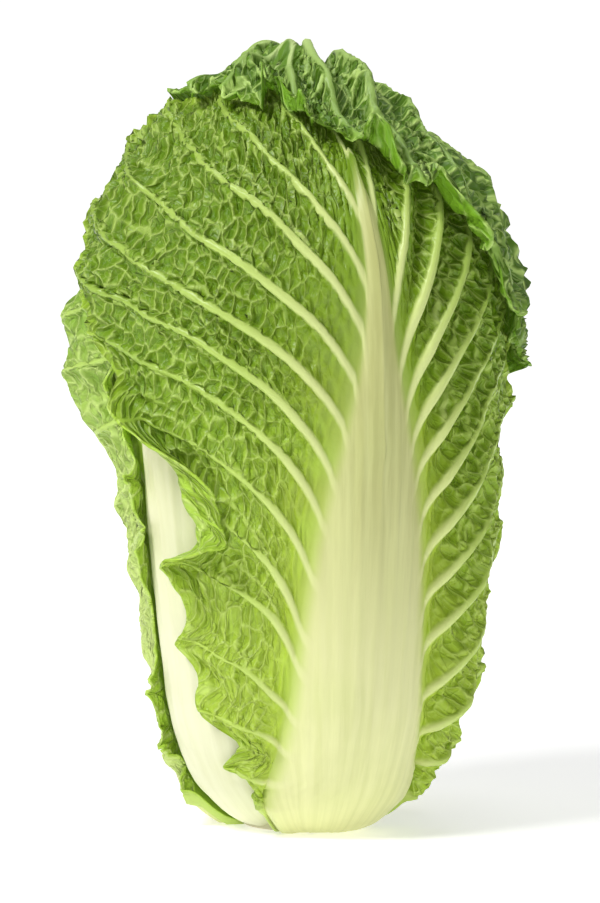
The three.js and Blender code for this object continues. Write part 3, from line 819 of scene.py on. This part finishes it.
def close_round(name, rings, low, high):
    """A closed mesh from rings of points, capped by one point at each end."""
    rows, count = rings.shape[:2]
    index = np.arange(rows * count).reshape(rows, count)
    after = np.roll(index, -1, axis=1)
    first, last = rows * count, rows * count + 1
    faces = quads(index[:-1], after[:-1], after[1:], index[1:]).tolist()
    faces += [(first, b, a) for a, b in zip(index[0], after[0])]
    faces += [(last, a, b) for a, b in zip(index[-1], after[-1])]
    points = np.concatenate([rings.reshape(-1, 3), [low, high]]) * MM
    mesh = bpy.data.meshes.new(name)
    mesh.from_pydata(points.tolist(), [], faces)
    mesh.polygons.foreach_set("use_smooth", np.ones(len(mesh.polygons), bool))
    mesh.update()
    return mesh


def heart_mesh():
    """Rings up the heart: each leaf edge winds round it as a slow step in depth."""
    up = np.linspace(0, 1, HEART_RINGS)
    rise, turn = np.meshgrid(mix(HEART_START, TOP - 1, up), np.arange(0, 360, 3.0), indexing="ij")
    fold = ((turn / 360 * HEART_FOLDS + rise / HEART_FOLD_RISE) % 1) ** 3
    fade = np.sin(np.pi * up)[:, None]
    veins = 0.4 * noise(turn / 3, rise / 6, 1.0, 60)
    depth = heart_depth(rise) - (1.2 * fold + 0.3 + veins) * fade - 0.3
    top = head_point(TOP, 0.0, heart_depth(TOP) - 0.3)
    return close_round("heart_leaves", head_point(rise, turn, depth), [0, 0, HEART_BOTTOM], top)


STEM_RADIUS = 25.0
STEM_HEIGHT = 17.0


def stem_mesh():
    """Rings from the cut face up the side, a little uneven where leaf feet grew."""
    profile = [(r, 0.0) for r in np.linspace(1.5, STEM_RADIUS - 0.8, 16)]
    profile += [(STEM_RADIUS, 0.8), (STEM_RADIUS - 1, 3), (STEM_RADIUS - 4, 9)]
    profile += [(STEM_RADIUS - 7, STEM_HEIGHT - 1), (10, STEM_HEIGHT)]
    radius, height = np.array(profile).T
    turn = np.radians(np.arange(0, 360, 4.0))
    lobes = 1 - 0.03 * np.abs(np.sin(2.5 * turn)) * ease(20, STEM_RADIUS, radius)[:, None]
    r = radius[:, None] * lobes
    rings = np.stack([r * np.sin(turn), -r * np.cos(turn), height[:, None] + 0 * r], axis=-1)
    return close_round("stem_core", rings, [0, 0, 0], [0, 0, STEM_HEIGHT])


pieces["heart"] = add_piece("heart_leaves", heart_mesh(), "heart")
pieces["stem"] = add_piece("stem_core", stem_mesh(), "stem")
print("pieces:", sorted(pieces))

# %% [markdown]
# ## Writing shader maths as Python
#
# A material is a graph of nodes, but its maths reads best as plain expressions. One small class
# wraps a node's output socket, so that adding or multiplying two of them adds a Math node.

# %% Sockets with operators
class Value:
    """A number that changes over the surface."""

    def __init__(self, graph, socket):
        self.graph, self.socket = graph, socket

    def math(self, operation, *others):
        """A Math node on this value and the others."""
        inputs = dict(enumerate((self, *others)))
        return self.graph.node("ShaderNodeMath", {"operation": operation}, inputs)["Value"]

    def __add__(self, other):
        return self.math("ADD", other)

    def __sub__(self, other):
        return self.math("SUBTRACT", other)

    def __mul__(self, other):
        return self.math("MULTIPLY", other)

    def __rsub__(self, other):
        return self * -1 + other

    __radd__ = __add__
    __rmul__ = __mul__

    def step(self, low, high):
        """0 at low, 1 at high and a soft S between. low may be above high."""
        inputs = {"Value": self, "From Min": min(low, high), "From Max": max(low, high)}
        settings = {"interpolation_type": "SMOOTHSTEP"}
        made = self.graph.node("ShaderNodeMapRange", settings, inputs)["Result"]
        return 1 - made if low > high else made


class Graph:
    """The node tree of a material or of the world.

    A Mix node has its number, vector and colour sockets side by side, so they are named by place.
    """

    MIX_SHARE, MIX_FIRST, MIX_SECOND = 0, 6, 7

    def __init__(self, owner):
        owner.use_nodes = True
        self.owner, self.tree = owner, owner.node_tree

    def fill(self, node, inputs):
        """Gives a node's sockets their values or their links."""
        for key, item in inputs.items():
            if isinstance(item, Value):
                self.tree.links.new(item.socket, node.inputs[key])
            else:
                node.inputs[key].default_value = item

    def node(self, kind, settings=None, inputs=None):
        """Any node: its settings first, then the values or links of its sockets."""
        node = self.tree.nodes.new(kind)
        for key, value in (settings or {}).items():
            setattr(node, key, value)
        self.fill(node, inputs or {})
        return {out.name: Value(self, out) for out in node.outputs if out.enabled}

    def here(self):
        """The place on the object."""
        return self.node("ShaderNodeTexCoord")["Object"]

    def attribute(self, name):
        """One of the values that the mesh carries."""
        return self.node("ShaderNodeAttribute", {"attribute_name": name})["Fac"]

    def mix_colour(self, share, a, b):
        """The colour that lies a share of the way from a to b."""
        inputs = {self.MIX_SHARE: share, self.MIX_FIRST: a, self.MIX_SECOND: b}
        return self.node("ShaderNodeMix", {"data_type": "RGBA"}, inputs)["Result"]

    def layers(self, colour, *coats):
        """Colours laid over one another, each as far as its own mask says."""
        for share, coat in coats:
            colour = self.mix_colour(share, colour, coat)
        return colour

    def noise(self, where, scale, detail=3.0, rough=0.5):
        """Cloudy noise, mostly from 0.3 to 0.7."""
        inputs = {"Vector": where, "Scale": scale, "Detail": detail, "Roughness": rough}
        return self.node("ShaderNodeTexNoise", {}, inputs)["Fac"]

    def bump(self, height, strength, distance):
        """A normal tilted by a height, with distance in metres."""
        inputs = {"Height": height, "Strength": strength, "Distance": distance}
        return self.node("ShaderNodeBump", {}, inputs)["Normal"]

    def surface(self, inputs):
        """Sets the sockets of the material's shader, and gives back the material."""
        self.fill(self.tree.nodes["Principled BSDF"], inputs)
        return self.owner


def rgb(red, green, blue):
    """A colour as it looks on a screen, from 0 to 255, turned to the linear values of light."""
    c = np.array([red, green, blue]) / 255
    linear = np.where(c <= 0.04045, c / 12.92, ((c + 0.055) / 1.055) ** 2.4)
    return (*linear.tolist(), 1.0)


print("shader helpers ready")

# %% [markdown]
# ## The leaf's finish
#
# One recipe serves every leaf, with its own colours. The rib is cream and faintly streaked along its
# length. The blade goes from yellow-green beside the rib to a deeper green, and is lighter on the
# side veins, on the net, and on a still finer net. Down in the pockets a darker green is painted
# shade, deeper where the mesh sinks more. Both nets are borders of cells, as in the mesh: a Voronoi
# texture gives the distance to them, on a plane whose axes are the vein count and the mm along the
# vein. The mesh's attributes say where all of these are.
#
# Thin leaves let some light through. Real scattering is slow and isn't baked, so the skin gives off
# a small share of its own colour instead.

# %% Leaf materials
GLOW = 0.07


def leaf_material(name, tint, net_share=0.42, roughness=0.34, cells=(2.4, 5.6)):
    """The skin of one leaf. cells says how many pockets lie between two side veins, and how many mm
    one is along them.
    """
    graph = Graph(bpy.data.materials.new(name))
    flat = graph.node("ShaderNodeUVMap", {"uv_map": "flat_leaf"})["UV"]
    here = graph.here()
    tall = graph.node("ShaderNodeSeparateXYZ", {}, {"Vector": here})["Z"]
    labels = (*SHADER_VALUES, "outside")
    phase, scale, along, sink, fork, out, rib, margin, outside = map(graph.attribute, labels)
    broad, small = graph.noise(here, 28.0), graph.noise(here, 160.0)

    off_vein = ((phase + 0.5).math("FRACT") - 0.5).math("ABSOLUTE") * scale
    cords = off_vein.step(1.7, 0.4).math("MAXIMUM", fork.step(0.1, 0.9) * 0.7)
    across = phase * cells[0] + (graph.noise(here, 110.0, 1.0) - 0.5) * 0.9
    onward = along * (1 / cells[1]) + (graph.noise(flat, 10.0, 1.0) - 0.5) * 0.9
    place = graph.node("ShaderNodeCombineXYZ", {}, {"X": across, "Y": onward})["Vector"]
    settings = {"feature": "DISTANCE_TO_EDGE", "voronoi_dimensions": "2D"}
    inputs = {"Vector": place, "Scale": 1.0, "Randomness": 0.8}
    border = graph.node("ShaderNodeTexVoronoi", settings, inputs)["Distance"]
    finer = graph.node("ShaderNodeTexVoronoi", settings, {**inputs, "Scale": 2.4})["Distance"]
    low = tall.step(0.2, 0.03)
    grown = out.step(0.02, 0.45) * (1 - cords) * scale.step(4.0, 11.0)
    ridge, fine_ridge = border.step(0.14, 0.0) * grown, finer.step(0.1, 0.01) * grown
    hollow = border.step(0.0, 0.45) * grown * (1 - low * 0.5)
    fine_hollow = finer.step(0.0, 0.35) * grown

    blade = graph.layers(
        tint["near_rib"],
        (out.step(0.0, 0.6), tint["blade"]),
        (broad.step(0.35, 0.7) * 0.8, tint["patch"]),
        (low * 0.75, tint["low"]),
        (tall.step(0.12, 0.24) * 0.85, tint["high"]),
        # Painted shade: the pocket colour darkens the hollows of the net, more where the mesh sinks
        # deeper, for the shade that falls down in them.
        (hollow * (sink * 0.35 + 0.3) * (1 - low * 0.5), tint["pocket"]),
        (margin * 0.6, tint["edge"]),
        ((ridge * net_share).math("MAXIMUM", fine_ridge * net_share * 0.4), tint["net"]),
    )
    cord_colour = graph.mix_colour(out.step(0.05, 0.5), tint["cord"], tint["cord_out"])
    blade = graph.mix_colour(cords * (out.step(1.1, 0.1) * 0.6 + 0.25), blade, cord_colour)
    stretch = {"Vector": flat, "Scale": (22.0, 1.2, 1.0)}
    streaks = graph.noise(graph.node("ShaderNodeMapping", {}, stretch)["Vector"], 1.0, 4.0, 0.6)
    rib_colour = graph.layers(
        tint["rib"],
        (tall.step(0.03, 0.16), tint["rib_top"]),
        (streaks.step(0.35, 0.7) * 0.6, tint["rib_streak"]),
        (broad.step(0.4, 0.8) * 0.35, tint["rib_green"]),
    )
    inside = graph.mix_colour(ridge * 0.6, tint["inside"], tint["net"])
    skin = graph.layers(blade, (rib, rib_colour), (1 - outside, inside))

    on_blade = 1 - rib
    relief = (ridge * 0.2 - hollow) + (fine_ridge * 0.05 - fine_hollow * 0.12) + small * 0.3
    return graph.surface({
        "Base Color": skin,
        "Emission Color": graph.mix_colour(GLOW, (0, 0, 0, 1), skin),
        "Emission Strength": 1.0,
        "Roughness": roughness + small * 0.12 + (rib * 0.04 - cords * on_blade * 0.05),
        "Normal": graph.bump(relief * on_blade + streaks * rib * 0.1, 0.9, 0.0024),
        "Specular IOR Level": 0.35,
    })


def palette(base, **colours):
    """A copy of a palette with some colours of its own, given as they look on a screen."""
    return {**base, **{name: rgb(*colour) for name, colour in colours.items()}}


# In each palette, pocket is painted shade for the hollows of the net, not a green of the leaf's own.
FRONT = palette(
    {}, near_rib=(146, 166, 50), blade=(134, 172, 40), patch=(154, 188, 56), low=(176, 202, 66),
    high=(104, 138, 18), pocket=(70, 110, 2), edge=(170, 204, 60), net=(196, 216, 122),
    cord=(208, 216, 146), cord_out=(184, 206, 108), rib=(222, 223, 166), rib_top=(168, 170, 106),
    rib_streak=(204, 207, 144), rib_green=(192, 200, 128), inside=(164, 200, 62),
)
LEFT = palette(
    FRONT, rib=(226, 226, 194), rib_top=(208, 208, 164), rib_streak=(218, 218, 182),
    rib_green=(210, 213, 166), near_rib=(184, 212, 84), low=(186, 214, 90),
)
STRIP = palette(
    FRONT, near_rib=(176, 202, 92), blade=(162, 194, 80), patch=(180, 208, 102),
    low=(208, 224, 140), high=(118, 156, 42), pocket=(114, 156, 40), edge=(176, 210, 76),
    net=(200, 218, 136),
)
HOOD = palette(
    FRONT, near_rib=(118, 148, 48), blade=(86, 122, 20), patch=(104, 140, 34), low=(90, 126, 24),
    high=(80, 118, 14), pocket=(44, 76, 2), edge=(120, 160, 34), net=(178, 206, 112),
    cord=(184, 204, 132), cord_out=(168, 196, 110), inside=(112, 158, 34),
)
finishes = {
    "leaf_front": leaf_material("front_leaf", FRONT),
    "leaf_left": leaf_material("left_leaf", LEFT),
    "leaf_right": leaf_material("right_leaf", LEFT),
    "leaf_back_left": leaf_material("back_left_leaf", STRIP, roughness=0.5),
    "leaf_back_hood": leaf_material("hood_leaf", HOOD, 0.8, 0.42, cells=(2.0, 8.0)),
}

# %% [markdown]
# ## The heart's and the stem's finish
#
# The heart is pale yellow-green with paler flecks. The stem's cut face is cream and has dried a
# little: rings of the core show in it as faint darker lines.

# %% Heart and stem materials
def heart_material():
    """Pale yellow-green, mottled at two sizes."""
    graph = Graph(bpy.data.materials.new("heart_leaf"))
    broad, small = graph.noise(graph.here(), 40.0), graph.noise(graph.here(), 220.0)
    colour = graph.layers(
        rgb(206, 214, 126),
        (broad.step(0.3, 0.7), rgb(184, 204, 98)),
        (small.step(0.55, 0.8) * 0.5, rgb(226, 230, 170)),
    )
    bump = graph.bump(small, 0.4, 0.0006)
    return graph.surface({"Base Color": colour, "Roughness": small * 0.2 + 0.4, "Normal": bump})


def stem_material():
    """Cream with faint rings, and small dried spots."""
    graph = Graph(bpy.data.materials.new("cut_stem"))
    settings = {"wave_type": "RINGS", "rings_direction": "Z"}
    inputs = {"Vector": graph.here(), "Scale": 60.0, "Distortion": 3.0, "Detail": 3.0}
    rings = graph.node("ShaderNodeTexWave", settings, inputs)["Fac"]
    small = graph.noise(graph.here(), 500.0)
    colour = graph.layers(
        rgb(236, 234, 208),
        (rings.step(0.4, 0.9) * 0.6, rgb(218, 212, 176)),
        (small.step(0.55, 0.75) * 0.5, rgb(206, 194, 152)),
    )
    bump = graph.bump(rings * 0.4 + small * 0.6, 0.5, 0.0005)
    return graph.surface({"Base Color": colour, "Roughness": small * 0.2 + 0.6, "Normal": bump})


finishes.update(heart=heart_material(), stem=stem_material())
for node, material in finishes.items():
    pieces[node].data.materials.append(material)
print("finished:", ", ".join(material.name for material in finishes.values()))

# %% [markdown]
# ## Floor, light and camera
#
# The photograph is a studio shot on white: a broad soft light from the upper left, bright fill all
# round, and only a faint shadow at the foot. A long lens a few degrees above the level looks at the
# front leaf.

# %% Stage
MM_PER_PIXEL = 0.38
IMAGE_SIZE = (600, 903)
AXIS_PIXEL = 307
BASE_PIXEL = 826
CAMERA_DISTANCE = 2200.0
CAMERA_ELEVATION = np.radians(5.5)
SENSOR = 36.0
LIGHT_TARGET = (0, 0, 0.15)
FLOOR_HALF = 40.0
NEAR_GLOW, FAR_GLOW = (0.4, 0.4, 0.4, 1.0), (0.8, 0.8, 0.8, 1.0)


def add_floor():
    """A wide white floor that glows more the further it is from the head, as a lit sweep does."""
    mesh = bpy.data.meshes.new("floor")
    half = FLOOR_HALF
    corners = [(-half, -half, 0), (half, -half, 0), (half, half, 0), (-half, half, 0)]
    mesh.from_pydata(corners, [], [(0, 1, 2, 3)])
    floor = add_object("floor", mesh)
    graph = Graph(bpy.data.materials.new("floor_white"))
    here = graph.here()
    away = graph.node("ShaderNodeVectorMath", {"operation": "LENGTH"}, {0: here})["Value"]
    white = graph.mix_colour(graph.noise(here, 2.0), rgb(250, 250, 250), rgb(254, 254, 254))
    material = graph.surface({
        "Base Color": white,
        "Roughness": 0.35,
        "Emission Color": graph.mix_colour(away.step(0.25, 1.3), NEAR_GLOW, FAR_GLOW),
        "Emission Strength": 1.0,
    })
    mesh.materials.append(material)


def add_area_light(name, place, size, power):
    """A square soft light that faces the middle of the head."""
    light = bpy.data.lights.new(name, "AREA")
    light.shape, light.size, light.energy = "SQUARE", size, power
    lamp = add_object(name, light)
    lamp.location = place
    way = Vector(LIGHT_TARGET) - Vector(place)
    lamp.rotation_euler = way.to_track_quat("-Z", "Y").to_euler()


def add_camera():
    """Aims a long lens so that one pixel of the image is MM_PER_PIXEL at the head's axis."""
    camera = bpy.data.cameras.new("camera")
    long_side = IMAGE_SIZE[1] * MM_PER_PIXEL
    camera.sensor_width = SENSOR
    camera.lens = SENSOR * CAMERA_DISTANCE / long_side
    holder = add_object("camera", camera)
    x = (IMAGE_SIZE[0] / 2 - AXIS_PIXEL) * MM_PER_PIXEL
    z = (BASE_PIXEL - IMAGE_SIZE[1] / 2) * MM_PER_PIXEL
    back, up = np.cos(CAMERA_ELEVATION), np.sin(CAMERA_ELEVATION)
    holder.location = np.array([x, -back * CAMERA_DISTANCE, z + up * CAMERA_DISTANCE]) * MM
    holder.rotation_euler = (np.pi / 2 - CAMERA_ELEVATION, 0, 0)
    camera.clip_start, camera.clip_end = 0.01, 50.0
    bpy.context.scene.camera = holder


def add_world():
    """Light from all round, white near the horizon like a studio's wall and dimmer overhead."""
    graph = Graph(bpy.data.worlds.new("studio"))
    where = graph.node("ShaderNodeTexCoord")["Generated"]
    up = graph.node("ShaderNodeSeparateXYZ", {}, {"Vector": where})["Z"]
    inputs = {"Value": up, "From Min": 0.02, "From Max": 0.16, "To Min": 1.0, "To Max": 0.25}
    light = graph.node("ShaderNodeMapRange", {}, inputs)["Result"]
    graph.fill(graph.tree.nodes["Background"], {"Color": (1, 1, 1, 1), "Strength": light})
    bpy.context.scene.world = graph.owner


add_floor()
add_world()
add_area_light("key", (-1.1, -0.9, 1.7), 0.6, 34.0)
add_area_light("fill", (1.4, -1.2, 0.7), 1.2, 2.0)
add_area_light("top", (0.2, 0.2, 1.8), 0.7, 9.0)
add_camera()
bpy.context.scene.view_settings.view_transform = "Standard"
